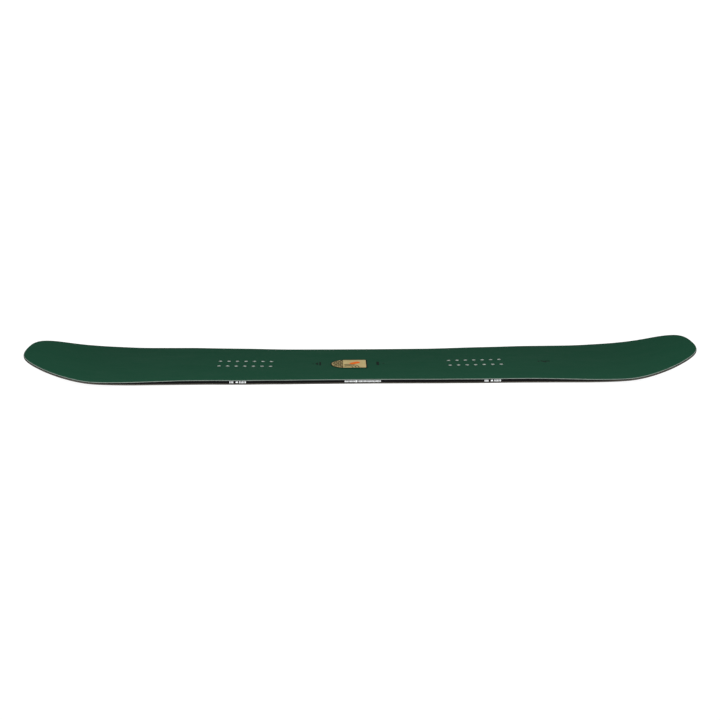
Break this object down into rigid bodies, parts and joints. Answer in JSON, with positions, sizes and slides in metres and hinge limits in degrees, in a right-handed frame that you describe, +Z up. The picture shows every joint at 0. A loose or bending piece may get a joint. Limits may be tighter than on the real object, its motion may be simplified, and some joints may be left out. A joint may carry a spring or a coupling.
{
  "type": "snowboard",
  "caption": "Long laminated snowboard with upturned round tips, steel edges, threaded binding inserts in the deck and a small ribbed stick-on stomp pad between the feet.",
  "frame": {"origin": "middle of the board's length and width, at the flat middle of the running base", "axes": "+X along the board to the nose, +Y to the heel side, +Z up out of the deck"},
  "size_m": [1.5609, 0.3002, 0.06],
  "materials": {
    "base": "sintered polyethylene, structured matt",
    "edge_steel": "ground steel, satin",
    "damper_rubber": "plain rubber foil",
    "glass_laminate": "resin-filled glass cloth, satin",
    "core_wood": "bare laminated wood",
    "spacer_plastic": "black ABS, milled matt",
    "sidewall_plastic": "black ABS, milled satin",
    "topsheet": "printed nylon topsheet, matt",
    "insert_steel": "stainless steel",
    "pad_adhesive": "foam adhesive film",
    "pad_rim": "moulded rubber, matt",
    "pad_face": "moulded rubber, fine grain",
    "pad_accent": "moulded rubber, satin"
  },
  "bodies": {
    "root": {"base_sheet": "base", "steel_edge_toe_side": "edge_steel", "steel_edge_heel_side": "edge_steel", "edge_damper_toe_side": "damper_rubber", "edge_damper_heel_side": "damper_rubber", "bottom_laminate": "glass_laminate", "top_laminate": "glass_laminate", "nose_spacer": "spacer_plastic", "tail_spacer": "spacer_plastic", "sidewall_toe_side": "sidewall_plastic", "sidewall_heel_side": "sidewall_plastic", "topsheet": "topsheet", "front_foot_inserts": "insert_steel", "rear_foot_inserts": "insert_steel", "stomp_pad_adhesive": "pad_adhesive", "stomp_pad_rim": "pad_rim", "stomp_pad": "pad_face", "stomp_pad_ribs": "pad_rim", "stomp_pad_accent": "pad_accent", "core_strip_01": "core_wood", "core_strip_02": "core_wood", "core_strip_03": "core_wood", "core_strip_04": "core_wood", "core_strip_05": "core_wood", "core_strip_06": "core_wood", "core_strip_07": "core_wood", "core_strip_08": "core_wood", "core_strip_09": "core_wood", "core_strip_10": "core_wood", "core_strip_11": "core_wood", "core_strip_12": "core_wood", "core_strip_13": "core_wood"}
  },
  "joints": []
}
